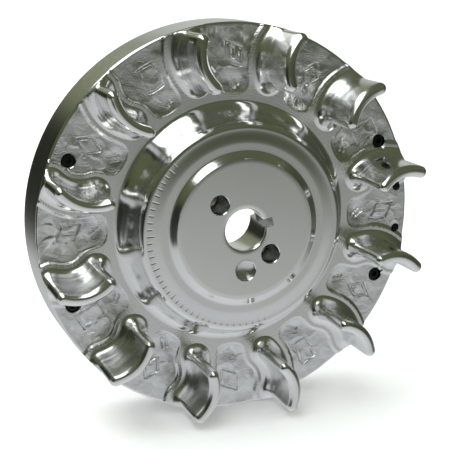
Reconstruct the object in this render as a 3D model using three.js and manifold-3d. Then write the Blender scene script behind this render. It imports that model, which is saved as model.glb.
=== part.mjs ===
// Racing flywheel for a small single-cylinder engine: a turned and milled aluminium
// billet with curved cooling vanes on its front, a bolted ignition magnet group in the
// rim and a bolted counterweight on the opposite side.
// Units are millimetres and +Z is up. The crankshaft axis lies along Y, the vanes face -Y
// and the origin is on the axis, at the hub's back face.
import * as THREE from 'three';
import { mergeVertices } from 'three/addons/utils/BufferGeometryUtils.js';
import Module from 'manifold-3d';

const wasm = await Module();
wasm.setup();

// ---------- driving dimensions ----------
// Each piece is modelled with its axis along local z, z = 0 at the hub's back face.
const GAP = 0.3;                  // clearance left between neighbouring solids
const OVERCUT = 1;                // how far a cutting shape runs past the surface it opens
const CHAMFER = 0.3;              // broken edges of screws and pins

const RIM_RADIUS = 88.5;
const RIM_INNER = 74;             // wall of the back cavity
const RIM_BACK = -15;
const RIM_FACE = 12;              // front face of the rim, where the vanes stand
const RIM_EDGE = 1;               // rounded corners of the rim
const DISH_START = 57;            // the milled floor dips between these two radii
const DISH_END = 84;
const DISH_DEPTH = 2.5;
const WEB_BACK = 2.5;
const WEB_FILLET = 3;             // corners of the back cavity

const HUB_BACK_RADIUS = 24;
const HUB_FOOT_RADIUS = 54;       // where the hub's fillet runs out on the floor
const SHOULDER_RADIUS = 47.2;
const SHOULDER_FACE = RIM_FACE + 14.9;
const SHOULDER_ROUND = 2;
// The hub's wall from shoulder to foot, as [radius, height over the rim face].
const HUB_WALL = [[47.4, 10.5], [48.4, 7], [50.1, 3.8], [51.9, 1.5]];
const BOSS_RADIUS = 31.5;
const BOSS_FACE = RIM_FACE + 17.5;
const BOSS_FOOT_RADIUS = 34.6;    // outer limit of the fillet round the boss
const BOSS_FOOT = RIM_FACE + 15.4;
const BOSS_KNEE = [32.3, RIM_FACE + 16.2];  // middle of that fillet

const BORE_FRONT_RADIUS = 9.3;
const BORE_BACK_RADIUS = 11.5;
const BORE_BACK = 5.5;            // the tapered seat ends here, inside a wider recess
const BORE_CHAMFER = 0.9;
const RECESS_RADIUS = 15.5;
const KEY_WIDTH = 4;
const KEY_DEPTH = 3.8;            // depth below the tapered bore wall
const KEY_ANGLE = 13;

const PULLER_HOLES = { radius: 4.2, pitch: 16.7, angles: [135, -45], depth: 16 };
const TIMING_HOLE = { radius: 4.6, pitch: 18.3, angles: [-90], depth: 2.4 };
const DRILL_POINT = THREE.MathUtils.degToRad(118);

const VANE_COUNT = 12;
const VANE_PHASE = 14.3;          // angle of the first vane
const VANE_INNER = 65;            // ends of the vane's centre line
const VANE_OUTER = 85.2;
const VANE_BOW = 3;               // how far its middle bows in the sense of increasing angle
const VANE_HALF = 2.7;            // half its thickness
const VANE_ROOT = 5.6;            // radius of the fillet at its foot
const VANE_LIFT = 0.45;           // clearance under the foot, more than GAP as the floor curves
const VANE_TOP_INNER = RIM_FACE + 27.3;
const VANE_TOP_OUTER = RIM_FACE + 24.7;

const FIXING_ANGLE = 23.6;        // screws stand at this angle on both sides of each insert
const FIXING_PITCH = 80;
const FIXING_ACCESS = 3.1;        // radius of the counterbore in the rim face
const NOTCH_TOP = RIM_FACE + 8;   // the counterbores notch the vane roots up to here
const MAGNET_SIDE = 0;
const WEIGHT_SIDE = 180;

const INSERT_HALF_ANGLE = 28;
const INSERT_FRONT = RIM_FACE - 4.4;
const INSERT_BACK = RIM_BACK + 3;
const CARRIER_INNER = 75.6;
const WEIGHT_INNER = 77;
const WEIGHT_OUTER = 84.8;
const MAGNET_HALF_ANGLE = 14.5;   // magnets and pole shoes end here
const POLE_GAP_ANGLE = 1.8;       // half the gap between the two poles
const MAGNET_INNER = 78;
const SHOE_INNER = 82;
const PIN_ANGLE = 6.8;
const PIN_PITCH = 83.9;
const PIN_RADIUS = 1.5;
const PIN_TOP = RIM_FACE - 0.6;

const SCREW_HEAD_RADIUS = 2.75;
const SCREW_HEAD_HEIGHT = 3;
const SCREW_SHANK_RADIUS = 1.5;
const SCREW_SOCKET = 1.45;        // across the corners of the hex socket, as a radius
const SCREW_SOCKET_DEPTH = 1.6;
const SCREW_SEAT = INSERT_FRONT - 0.4;
const SCREW_END = SCREW_SEAT - 16;

const ROUND_STEPS = 72;
const SMALL_STEPS = 24;

// ---------- helpers ----------
const rad = THREE.MathUtils.degToRad;

const polar = (radius, degrees) =>
  new THREE.Vector2(radius * Math.cos(rad(degrees)), radius * Math.sin(rad(degrees)));

function solid(geometry) {
  const bare = geometry.clone();
  bare.deleteAttribute('normal');
  bare.deleteAttribute('uv');
  const merged = mergeVertices(bare, 1e-4);
  return new wasm.Manifold(new wasm.Mesh({
    numProp: 3,
    vertProperties: new Float32Array(merged.attributes.position.array),
    triVerts: new Uint32Array(merged.index.array),
  }));
}

function geometryOf(manifold) {
  const mesh = manifold.getMesh();
  const geometry = new THREE.BufferGeometry();
  geometry.setAttribute('position', new THREE.BufferAttribute(mesh.vertProperties, 3));
  geometry.setIndex(new THREE.BufferAttribute(mesh.triVerts, 1));
  geometry.computeVertexNormals();
  return geometry;
}

// A solid of revolution about z with a hole through it. Points are [radius, z], ordered
// over the front, outwards and back under, and the outline closes on itself.
function revolve(points, steps) {
  const outline = [points[0], ...points.slice().reverse()]
    .map(([radius, z]) => new THREE.Vector2(radius, z));
  return new THREE.LatheGeometry(outline, steps).rotateX(Math.PI / 2);
}

// A turned solid that starts and ends on its own axis.
function turned(points, steps) {
  const outline = points.map(([radius, z]) => new THREE.Vector2(radius, z));
  return new THREE.LatheGeometry(outline, steps).rotateX(Math.PI / 2);
}

function rod(radius, back, front) {
  return turned([[0, back], [radius, back], [radius, front], [0, front]], SMALL_STEPS);
}

function at(geometry, pitch, degrees) {
  const place = polar(pitch, degrees);
  return geometry.translate(place.x, place.y, 0);
}

// A ring segment from angle `from` to `to`, between two radii and two heights.
function segment(inner, outer, from, to, back, front) {
  const shape = new THREE.Shape();
  shape.absarc(0, 0, outer, rad(from), rad(to), false);
  shape.absarc(0, 0, inner, rad(to), rad(from), true);
  shape.closePath();
  const depth = front - back;
  return new THREE.ExtrudeGeometry(shape, { depth, bevelEnabled: false, curveSegments: 10 })
    .translate(0, 0, back);
}

// Points of an arc in an outline, from one angle to another, both ends included.
function arc(centre, radius, from, to, steps) {
  return Array.from({ length: steps + 1 }, (_, i) => {
    const angle = rad(from + (to - from) * i / steps);
    return [centre[0] + radius * Math.cos(angle), centre[1] + radius * Math.sin(angle)];
  });
}

// ---------- materials ----------
function finish(color, roughness, metalness) {
  return new THREE.MeshStandardMaterial({ color, roughness, metalness });
}

const billetAluminium = finish(0xc4c6c4, 0.25, 1);
const polishedAluminium = finish(0xd4d6d2, 0.12, 1);
const blackSteel = finish(0x1c1c1e, 0.45, 0.9);
const shoeSteel = finish(0x8a8c8f, 0.4, 1);
const magnetNickel = finish(0xa9a59c, 0.3, 1);
const carrierSteel = finish(0x6e7174, 0.5, 1);

// ---------- billet body ----------
// Height of the milled floor at a radius: level near the hub and at the rim, dished between.
function floorAt(radius) {
  if (radius <= DISH_START || radius >= DISH_END) return RIM_FACE;
  const share = (radius - DISH_START) / (DISH_END - DISH_START);
  return RIM_FACE - DISH_DEPTH * Math.sin(Math.PI * share) ** 2;
}

// Seen in the plane of radius and height, from the bore's front over the face to the back.
function bodyOutline() {
  const floorSteps = 8;
  const floorRadii = Array.from({ length: floorSteps + 1 },
    (_, i) => DISH_START + (DISH_END - DISH_START) * i / floorSteps);
  const shoulderCentre = [SHOULDER_RADIUS - SHOULDER_ROUND, SHOULDER_FACE - SHOULDER_ROUND];
  return [
    [BORE_BACK_RADIUS, BORE_BACK],
    [BORE_FRONT_RADIUS, BOSS_FACE - BORE_CHAMFER],
    [BORE_FRONT_RADIUS + BORE_CHAMFER, BOSS_FACE],
    [BOSS_RADIUS, BOSS_FACE],
    BOSS_KNEE,
    [BOSS_FOOT_RADIUS, BOSS_FOOT],
    ...arc(shoulderCentre, SHOULDER_ROUND, 90, 0, 3),
    ...HUB_WALL.map(([radius, height]) => [radius, RIM_FACE + height]),
    [HUB_FOOT_RADIUS, RIM_FACE],
    ...floorRadii.map((radius) => [radius, floorAt(radius)]),
    [RIM_RADIUS - RIM_EDGE, RIM_FACE],
    [RIM_RADIUS, RIM_FACE - RIM_EDGE],
    [RIM_RADIUS, RIM_BACK + RIM_EDGE],
    [RIM_RADIUS - RIM_EDGE, RIM_BACK],
    [RIM_INNER + RIM_EDGE, RIM_BACK],
    [RIM_INNER, RIM_BACK + RIM_EDGE],
    [RIM_INNER, WEB_BACK - WEB_FILLET],
    [RIM_INNER - WEB_FILLET, WEB_BACK],
    [HUB_BACK_RADIUS + WEB_FILLET, WEB_BACK],
    [HUB_BACK_RADIUS, 0],
    [RECESS_RADIUS, 0],
    [RECESS_RADIUS, BORE_BACK],
  ];
}

// A drilled blind hole: straight wall, then the cone that the drill point leaves.
function drilling({ radius, pitch, depth }, angle) {
  const floor = BOSS_FACE - depth;
  const point = floor - radius / Math.tan(DRILL_POINT / 2);
  const above = BOSS_FACE + OVERCUT;
  return at(turned([[0, point], [radius, floor], [radius, above], [0, above]], SMALL_STEPS), pitch, angle);
}

// The keyway runs the whole length of the tapered seat, parallel to its wall.
function keyway() {
  const taper = Math.atan((BORE_BACK_RADIUS - BORE_FRONT_RADIUS) / (BOSS_FACE - BORE_BACK));
  const middle = (BORE_BACK_RADIUS + BORE_FRONT_RADIUS) / 2;
  const height = middle + KEY_DEPTH - BORE_FRONT_RADIUS / 2;
  const length = 2 * BOSS_FACE;
  return new THREE.BoxGeometry(height, KEY_WIDTH, length)
    .translate(-height / 2, 0, 0)
    .rotateY(-taper)
    .translate(middle + KEY_DEPTH, 0, (BOSS_FACE + BORE_BACK) / 2)
    .rotateZ(rad(KEY_ANGLE));
}

const fixingAngles = [MAGNET_SIDE, WEIGHT_SIDE]
  .flatMap((side) => [side + FIXING_ANGLE, side - FIXING_ANGLE]);
const pinAngles = [PIN_ANGLE, -PIN_ANGLE];

// Everything that reaches through the rim face: counterbores for screws, holes for pins.
function faceHoles() {
  const bottom = INSERT_FRONT - OVERCUT;
  const bores = fixingAngles.map((angle) =>
    solid(at(rod(FIXING_ACCESS, bottom, NOTCH_TOP), FIXING_PITCH, angle)));
  const pins = pinAngles.map((angle) =>
    solid(at(rod(PIN_RADIUS + GAP, bottom, NOTCH_TOP), PIN_PITCH, angle)));
  return [...bores, ...pins];
}

function body() {
  let billet = solid(revolve(bodyOutline(), ROUND_STEPS));
  const cuts = [
    solid(keyway()),
    ...PULLER_HOLES.angles.map((angle) => solid(drilling(PULLER_HOLES, angle))),
    ...TIMING_HOLE.angles.map((angle) => solid(drilling(TIMING_HOLE, angle))),
    ...faceHoles(),
    solid(segment(CARRIER_INNER - GAP, RIM_RADIUS + OVERCUT,
      MAGNET_SIDE - INSERT_HALF_ANGLE, MAGNET_SIDE + INSERT_HALF_ANGLE, INSERT_BACK, INSERT_FRONT)),
    solid(segment(WEIGHT_INNER - GAP, WEIGHT_OUTER + GAP,
      WEIGHT_SIDE - INSERT_HALF_ANGLE, WEIGHT_SIDE + INSERT_HALF_ANGLE, RIM_BACK - OVERCUT, INSERT_FRONT)),
  ];
  for (const cut of cuts) billet = billet.subtract(cut);
  return geometryOf(billet);
}

// ---------- vanes ----------
// The vane is a stack of rings round a bowed centre line. Each ring is the centre line
// grown by some width; the ring at the foot is the widest, which makes the root fillet.
const STATIONS = 7;
const CAP_ANGLES = [30, 60];
const vaneLine = new THREE.QuadraticBezierCurve(
  new THREE.Vector2(VANE_INNER, 0),
  new THREE.Vector2((VANE_INNER + VANE_OUTER) / 2, 2 * VANE_BOW),
  new THREE.Vector2(VANE_OUTER, 0),
);

// Points across the vane, ordered inner tip, then pairs left and right, then outer tip.
function vaneRing(width) {
  const pairs = [];
  const endPair = (share, outward, angle) => {
    const centre = vaneLine.getPoint(share);
    const along = vaneLine.getTangent(share).multiplyScalar(outward);
    const across = new THREE.Vector2(-vaneLine.getTangent(share).y, vaneLine.getTangent(share).x);
    const step = along.clone().multiplyScalar(width * Math.cos(rad(angle)));
    const side = across.multiplyScalar(width * Math.sin(rad(angle)));
    return [centre.clone().add(step).add(side), centre.clone().add(step).sub(side)];
  };
  const tip = (share, outward) => endPair(share, outward, 0)[0];
  for (const angle of CAP_ANGLES) pairs.push(endPair(0, -1, angle));
  for (let i = 0; i < STATIONS; i += 1) pairs.push(endPair(i / (STATIONS - 1), 1, 90));
  for (const angle of [...CAP_ANGLES].reverse()) pairs.push(endPair(1, 1, angle));
  return { tips: [tip(0, -1), tip(1, 1)], pairs };
}

// The rings from foot to crest: extra width over the vane's half thickness, and the
// height, either above the floor or below the crest.
function vaneLevels() {
  const root = [0, 35, 65, 90].map((angle) => ({
    width: VANE_HALF + VANE_ROOT * (1 - Math.sin(rad(angle))),
    aboveFloor: VANE_LIFT + VANE_ROOT * (1 - Math.cos(rad(angle))),
  }));
  const crest = [0, 45, 78].map((angle) => ({
    width: VANE_HALF * Math.cos(rad(angle)),
    belowCrest: VANE_HALF * (1 - Math.sin(rad(angle))),
  }));
  return [...root, ...crest];
}

function crestAt(radius) {
  const share = (radius - VANE_INNER) / (VANE_OUTER - VANE_INNER);
  return THREE.MathUtils.lerp(VANE_TOP_INNER, VANE_TOP_OUTER, THREE.MathUtils.clamp(share, 0, 1));
}

function vaneGeometry() {
  const positions = [];
  const faces = [];
  const limit = RIM_RADIUS - RIM_EDGE;
  const levels = vaneLevels();
  const pairCount = STATIONS + 2 * CAP_ANGLES.length;
  const ringSize = 2 * pairCount + 2;
  for (const level of levels) {
    const { tips, pairs } = vaneRing(level.width);
    for (const point of [tips[0], ...pairs.flat(), tips[1]]) {
      const kept = point.clone().clampLength(0, limit);
      const radius = kept.length();
      const height = level.aboveFloor === undefined
        ? crestAt(radius) - level.belowCrest
        : floorAt(radius) + level.aboveFloor;
      positions.push(kept.x, kept.y, height);
    }
  }
  // Ring order, counter-clockwise seen from the crest: inner tip, right side, outer tip, left.
  const rights = Array.from({ length: pairCount }, (_, i) => 2 * i + 2);
  const lefts = Array.from({ length: pairCount }, (_, i) => 2 * i + 1);
  const order = [0, ...rights, ringSize - 1, ...lefts.reverse()];
  for (let level = 0; level < levels.length - 1; level += 1) {
    const low = level * ringSize;
    const high = low + ringSize;
    order.forEach((here, i) => {
      const next = order[(i + 1) % order.length];
      faces.push(low + here, low + next, high + next, low + here, high + next, high + here);
    });
  }
  const capFaces = [[0, 2, 1]];
  for (let i = 0; i < pairCount - 1; i += 1) {
    const [left, right] = [2 * i + 1, 2 * i + 2];
    capFaces.push([left, right, right + 2], [left, right + 2, left + 2]);
  }
  capFaces.push([ringSize - 3, ringSize - 2, ringSize - 1]);
  const top = (levels.length - 1) * ringSize;
  for (const [a, b, c] of capFaces) faces.push(top + a, top + b, top + c, a, c, b);
  const geometry = new THREE.BufferGeometry();
  geometry.setAttribute('position', new THREE.Float32BufferAttribute(positions, 3));
  geometry.setIndex(faces);
  return geometry;
}

// A vane at its angle, notched where a screw or pin hole passes its root fillet.
function vane(degrees) {
  let blade = solid(vaneGeometry().rotateZ(rad(degrees)));
  for (const hole of faceHoles()) blade = blade.subtract(hole);
  return geometryOf(blade);
}

// ---------- inserts in the rim ----------
const clearAngle = (radius) => THREE.MathUtils.radToDeg(GAP / radius);

// A block in a rim pocket, with the counterbored holes for its two screws.
function insertBlock(side, inner, outer, back, front) {
  const half = INSERT_HALF_ANGLE - clearAngle(inner);
  let block = solid(segment(inner, outer, side - half, side + half, back, front));
  for (const angle of [side + FIXING_ANGLE, side - FIXING_ANGLE]) {
    const head = rod(SCREW_HEAD_RADIUS + GAP, SCREW_SEAT - GAP, RIM_FACE);
    const shank = rod(SCREW_SHANK_RADIUS + GAP, SCREW_END - GAP, RIM_FACE);
    block = block.subtract(solid(at(head, FIXING_PITCH, angle)));
    block = block.subtract(solid(at(shank, FIXING_PITCH, angle)));
  }
  return block;
}

function magnetCarrier() {
  const block = insertBlock(MAGNET_SIDE, CARRIER_INNER, RIM_RADIUS, INSERT_BACK + GAP, INSERT_FRONT - GAP);
  const recess = segment(MAGNET_INNER - GAP, RIM_RADIUS + OVERCUT, MAGNET_SIDE - MAGNET_HALF_ANGLE,
    MAGNET_SIDE + MAGNET_HALF_ANGLE, INSERT_BACK - OVERCUT, INSERT_FRONT + OVERCUT);
  return geometryOf(block.subtract(solid(recess)));
}

function counterweight() {
  return geometryOf(insertBlock(WEIGHT_SIDE, WEIGHT_INNER, WEIGHT_OUTER, RIM_BACK, INSERT_FRONT - GAP));
}

// Angles that one pole covers; sign is +1 for the upper pole and -1 for the lower one.
function poleSpan(sign, radius) {
  const near = MAGNET_SIDE + sign * POLE_GAP_ANGLE;
  const far = MAGNET_SIDE + sign * (MAGNET_HALF_ANGLE - clearAngle(radius));
  return [Math.min(near, far), Math.max(near, far)];
}

function magnet(sign) {
  const [from, to] = poleSpan(sign, MAGNET_INNER);
  return segment(MAGNET_INNER, SHOE_INNER - GAP, from, to, INSERT_BACK + GAP, INSERT_FRONT - GAP);
}

function poleShoe(sign) {
  const [from, to] = poleSpan(sign, SHOE_INNER);
  const shoe = solid(segment(SHOE_INNER, RIM_RADIUS, from, to, INSERT_BACK + GAP, INSERT_FRONT - GAP));
  const through = rod(PIN_RADIUS + GAP, INSERT_BACK - OVERCUT, INSERT_FRONT + OVERCUT);
  const hole = at(through, PIN_PITCH, sign * PIN_ANGLE);
  return geometryOf(shoe.subtract(solid(hole)));
}

function shoePin(sign) {
  const outline = [
    [0, INSERT_BACK + GAP],
    [PIN_RADIUS, INSERT_BACK + GAP],
    [PIN_RADIUS, PIN_TOP - CHAMFER],
    [PIN_RADIUS - CHAMFER, PIN_TOP],
    [0, PIN_TOP],
  ];
  return at(turned(outline, SMALL_STEPS), PIN_PITCH, sign * PIN_ANGLE);
}

// A socket-head cap screw, its head down in the counterbore.
function screw(angle) {
  const headTop = SCREW_SEAT + SCREW_HEAD_HEIGHT;
  const outline = [
    [0, SCREW_END],
    [SCREW_SHANK_RADIUS - CHAMFER, SCREW_END],
    [SCREW_SHANK_RADIUS, SCREW_END + CHAMFER],
    [SCREW_SHANK_RADIUS, SCREW_SEAT],
    [SCREW_HEAD_RADIUS, SCREW_SEAT],
    [SCREW_HEAD_RADIUS, headTop - CHAMFER],
    [SCREW_HEAD_RADIUS - CHAMFER, headTop],
    [0, headTop],
  ];
  const socket = new THREE.CylinderGeometry(SCREW_SOCKET, SCREW_SOCKET, 2 * SCREW_SOCKET_DEPTH, 6)
    .rotateX(Math.PI / 2)
    .translate(0, 0, headTop);
  const piece = solid(turned(outline, SMALL_STEPS)).subtract(solid(socket));
  return at(geometryOf(piece), FIXING_PITCH, angle);
}

// ---------- assembly ----------
const group = new THREE.Group();

function add(name, geometry, material) {
  const mesh = new THREE.Mesh(geometry, material);
  mesh.name = name;
  group.add(mesh);
}

add('flywheel_body', body(), billetAluminium);
for (let i = 0; i < VANE_COUNT; i += 1) {
  const name = `vane_${String(i + 1).padStart(2, '0')}`;
  add(name, vane(VANE_PHASE + i * 360 / VANE_COUNT), polishedAluminium);
}
add('magnet_carrier', magnetCarrier(), carrierSteel);
add('counterweight', counterweight(), carrierSteel);
for (const [label, sign] of [['upper', 1], ['lower', -1]]) {
  add(`magnet_${label}`, magnet(sign), magnetNickel);
  add(`pole_shoe_${label}`, poleShoe(sign), shoeSteel);
  add(`shoe_pin_${label}`, shoePin(sign), blackSteel);
  add(`magnet_screw_${label}`, screw(MAGNET_SIDE + sign * FIXING_ANGLE), blackSteel);
  add(`weight_screw_${label}`, screw(WEIGHT_SIDE - sign * FIXING_ANGLE), blackSteel);
}

group.rotation.x = Math.PI / 2;

export default group;
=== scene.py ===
"""A machined aluminium flywheel for a small engine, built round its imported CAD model."""
import math
import random

import bpy
import bmesh
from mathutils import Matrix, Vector


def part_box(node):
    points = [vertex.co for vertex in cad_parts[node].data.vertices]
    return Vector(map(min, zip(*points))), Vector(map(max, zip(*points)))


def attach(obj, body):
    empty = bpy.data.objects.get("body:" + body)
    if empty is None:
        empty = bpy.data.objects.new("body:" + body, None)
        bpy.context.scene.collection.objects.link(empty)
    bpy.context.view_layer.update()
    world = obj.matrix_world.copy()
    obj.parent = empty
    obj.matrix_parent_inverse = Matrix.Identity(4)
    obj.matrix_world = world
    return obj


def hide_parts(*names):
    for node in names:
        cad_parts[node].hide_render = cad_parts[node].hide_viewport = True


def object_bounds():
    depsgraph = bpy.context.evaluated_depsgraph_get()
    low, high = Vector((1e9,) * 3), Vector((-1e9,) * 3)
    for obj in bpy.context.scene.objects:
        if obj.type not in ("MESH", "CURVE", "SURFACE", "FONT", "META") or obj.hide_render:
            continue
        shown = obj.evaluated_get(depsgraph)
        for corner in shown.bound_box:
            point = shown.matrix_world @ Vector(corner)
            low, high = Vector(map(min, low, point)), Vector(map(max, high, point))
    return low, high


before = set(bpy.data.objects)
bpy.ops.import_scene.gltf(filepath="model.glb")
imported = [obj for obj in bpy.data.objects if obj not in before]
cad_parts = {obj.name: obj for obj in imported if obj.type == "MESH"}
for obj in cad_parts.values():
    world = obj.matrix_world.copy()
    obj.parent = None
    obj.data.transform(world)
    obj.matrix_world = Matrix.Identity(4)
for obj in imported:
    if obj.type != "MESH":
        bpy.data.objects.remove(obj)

MM = 0.001
CAD_LOW, CAD_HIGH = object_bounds()

# ---------- dimensions in millimetres, from the frame ----------
# Shapes are made about a local z axis that points out of the vaned face. World y is -z.
body_low, body_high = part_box("flywheel_body")
vane_low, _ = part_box("vane_01")

RIM_R = body_high[0] / MM
BOSS_FACE = -body_low[1] / MM
RIM_BACK = -body_high[1] / MM
FACE = BOSS_FACE - 17.5                             # height of the vaned face
CREST_INNER = -vane_low[1] / MM                     # height of a vane's crest at its inner end
CREST_OUTER = CREST_INNER - 2.6

RIM_INNER = 74.0
WEB_BACK = 2.5                                      # height of the web's back face
BORE_FRONT, BORE_BACK, BORE_END = 9.3, 11.5, 5.5    # radii of the taper, and where the recess takes over
RECESS_R = 15.5
HUB_BACK_R = 24.0
BOSS_R = 31.5
BOSS_FOOT_R, BOSS_FOOT = 34.8, FACE + 15.4
SHOULDER_R, SHOULDER_FACE, SHOULDER_ROUND = 47.2, FACE + 14.9, 3.0
HUB_FOOT_R = 54.2
WALL_POWER = 1.7                                    # how square the sweep of the hub's wall is
FLOOR_START, FLOOR_END = HUB_FOOT_R + 0.8, RIM_R - 1.05

VANES = 12
VANE_PITCH = 360 / VANES
VANE_PHASE = 14.3                                   # angle of the first vane
VANE_IN, VANE_OUT = 65.0, 85.2                      # ends of a vane's centre line
VANE_BOW = 3.0
VANE_HALF = 2.7
VANE_ROOT = 5.6                                     # radius of the fillet at a vane's root
VANE_SINK = 0.12                                    # how far a vane's foot is sunk into the billet
VANE_LIMIT = RIM_R - 0.15

INSERT_HALF = 28                                    # half the angle that an insert in the rim takes up
INSERT_GAP = 0.3                                    # clearance round an insert
CARRIER_INNER, CARRIER_OUTER = 75.6, RIM_R - 0.05
WEIGHT_INNER, WEIGHT_OUTER = 77.0, 84.8
POCKET_FRONT, POCKET_BACK = FACE - 4.4, RIM_BACK + 3
FIXING_ANGLE, FIXING_PITCH, FIXING_ACCESS = 23.6, 80.0, 3.1
FIXINGS = [side + sign * FIXING_ANGLE for side in (0, 180) for sign in (1, -1)]
PIN_ANGLE, PIN_PITCH, PIN_R = 6.8, 83.9, 1.5
KEY_ANGLE, KEY_WIDTH, KEY_DEPTH = 13.0, 4.0, 3.8
PULLER_PITCH, PULLER_ANGLES, PULLER_R, PULLER_DEPTH = 16.7, (135, -45), 4.2, 16
TIMING_PITCH, TIMING_ANGLE, TIMING_R, TIMING_DEPTH = 18.3, -90, 4.6, 2.4
DRILL_HALF_ANGLE = 59


def place(point):
    """Local millimetres to world metres."""
    x, y, z = point
    return Vector((x * MM, -z * MM, y * MM))


def polar(radius, degrees, z=0.0):
    a = math.radians(degrees)
    return (radius * math.cos(a), radius * math.sin(a), z)


def smoothstep(low, high, value):
    t = min(1.0, max(0.0, (value - low) / (high - low)))
    return t * t * (3 - 2 * t)


def smooth_min(a, b, k):
    h = max(k - abs(a - b), 0.0) / k
    return min(a, b) - h * h * k / 4


def arc(centre_r, centre_z, radius, start, end, steps):
    """Points of a round arc in the plane of radius and height."""
    out = []
    for i in range(steps + 1):
        a = math.radians(start + (end - start) * i / steps)
        out.append((centre_r + radius * math.cos(a), centre_z + radius * math.sin(a)))
    return out


def line(start, end, steps):
    """Points of a straight line in the plane of radius and height."""
    return [(start[0] + (end[0] - start[0]) * i / steps, start[1] + (end[1] - start[1]) * i / steps)
            for i in range(steps + 1)]


# ---------- materials ----------
class Nodes:
    """A material's node tree, with short calls for the nodes used here.

    An input is given by its name, or as i0, i1 and so on by its place.
    """

    def __init__(self, name, color, metallic, roughness):
        self.material = bpy.data.materials.new(name)
        self.material.use_nodes = True
        self.tree = self.material.node_tree
        self.shader = self.tree.nodes["Principled BSDF"]
        self.shader.inputs["Base Color"].default_value = (*color, 1)
        self.shader.inputs["Metallic"].default_value = metallic
        self.shader.inputs["Roughness"].default_value = roughness

    def node(self, kind, **inputs):
        made = self.tree.nodes.new(kind)
        for key, value in inputs.items():
            self.set(made, key, value)
        return made

    def set(self, node, key, value):
        numbered = key[0] == "i" and key[1:].isdigit()
        socket = node.inputs[int(key[1:])] if numbered else node.inputs[key]
        if isinstance(value, bpy.types.NodeSocket):
            self.tree.links.new(value, socket)
        else:
            socket.default_value = value

    def math(self, operation, a, b=0.0):
        made = self.tree.nodes.new("ShaderNodeMath")
        made.operation = operation
        self.set(made, "i0", a)
        self.set(made, "i1", b)
        return made.outputs[0]

    def darker(self, share, color, factor):
        """The colour, going over to a darker one as share grows."""
        return self.mix(share, color, tuple(c * factor for c in color))

    def position(self):
        """Object coordinates in millimetres."""
        coord = self.tree.nodes.new("ShaderNodeTexCoord")
        scale = self.tree.nodes.new("ShaderNodeVectorMath")
        scale.operation = "SCALE"
        self.tree.links.new(coord.outputs["Object"], scale.inputs[0])
        scale.inputs["Scale"].default_value = 1 / MM
        return scale.outputs[0]

    def turned(self):
        """Radius, angle and height of the surface about the crankshaft axis."""
        split = self.node("ShaderNodeSeparateXYZ", i0=self.position())
        x, y, z = split.outputs
        squares = self.math("ADD", self.math("MULTIPLY", x, x), self.math("MULTIPLY", z, z))
        radius = self.math("SQRT", squares)
        return radius, self.math("ARCTAN2", z, x), y

    def vector(self, x, y, z):
        return self.node("ShaderNodeCombineXYZ", i0=x, i1=y, i2=z).outputs[0]

    def noise(self, vector, scale, detail=2.0, rough=0.5):
        made = self.node("ShaderNodeTexNoise", Vector=vector, Scale=scale, Detail=detail, Roughness=rough)
        return made.outputs["Fac"]

    def ramp(self, value, low, high, out_low, out_high):
        made = self.tree.nodes.new("ShaderNodeMapRange")
        for key, number in zip(("Value", "From Min", "From Max", "To Min", "To Max"),
                               (value, low, high, out_low, out_high)):
            self.set(made, key, number)
        return made.outputs[0]

    def bump(self, height, distance, strength=1.0, normal=None):
        made = self.node("ShaderNodeBump", Height=height, Distance=distance * MM, Strength=strength)
        if normal is not None:
            self.tree.links.new(normal, made.inputs["Normal"])
        return made.outputs[0]

    def mix(self, share, a, b):
        made = self.tree.nodes.new("ShaderNodeMix")
        made.data_type = "RGBA"
        self.set(made, "i0", share)
        made.inputs[6].default_value = (*a, 1)
        made.inputs[7].default_value = (*b, 1)
        return made.outputs[2]

    def out(self, **inputs):
        for key, value in inputs.items():
            self.set(self.shader, key.replace("_", " "), value)
        return self.material


QUARTER_TURN = 0.25     # turns the highlights of an anisotropic metal across its grooves


def turned_metal(name, color, low, high, ring_pitch, ring_depth, anisotropy):
    """Metal off the lathe: fine rings about the axis, uneven from pass to pass."""
    m = Nodes(name, color, 1.0, low)
    radius, angle, height = m.turned()
    along = m.math("ADD", radius, m.math("MULTIPLY", height, 0.7))
    across = m.vector(along, m.math("MULTIPLY", angle, 0.6), 0.0)
    rings = m.noise(across, 1 / ring_pitch, 3.0, 0.7)
    cloud = m.noise(m.position(), 0.06, 3.0)
    tint = m.darker(cloud, color, 0.93)
    m.shader.inputs["Anisotropic"].default_value = anisotropy
    if anisotropy:
        m.shader.inputs["Anisotropic Rotation"].default_value = QUARTER_TURN
        tangent = m.tree.nodes.new("ShaderNodeTangent")
        tangent.direction_type = "RADIAL"
        tangent.axis = "Y"
        m.tree.links.new(tangent.outputs[0], m.shader.inputs["Tangent"])
    return m.out(Base_Color=tint, Roughness=m.ramp(rings, 0.3, 0.7, low, high),
                 Normal=m.bump(rings, ring_depth))


def drilled_metal(name, color, low, high):
    """The end of a drilled hole, whose fine rings run about the hole's own axis."""
    m = Nodes(name, color, 1.0, low)
    split = m.node("ShaderNodeSeparateXYZ", i0=m.position())
    x, y, z = split.outputs
    centre = polar(TIMING_PITCH, TIMING_ANGLE)
    across, up = m.math("SUBTRACT", x, centre[0]), m.math("SUBTRACT", z, centre[1])
    around = m.vector(m.math("MULTIPLY", up, -1.0), 0.0, across)
    m.shader.inputs["Anisotropic"].default_value = 0.85
    m.shader.inputs["Anisotropic Rotation"].default_value = QUARTER_TURN
    m.tree.links.new(around, m.shader.inputs["Tangent"])
    rings = m.noise(m.vector(m.math("MULTIPLY", y, 3.0), 0.0, 0.0), 1.0, 2.0)
    return m.out(Base_Color=m.darker(rings, color, 0.85), Roughness=m.ramp(rings, 0.3, 0.7, low, high))


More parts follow.
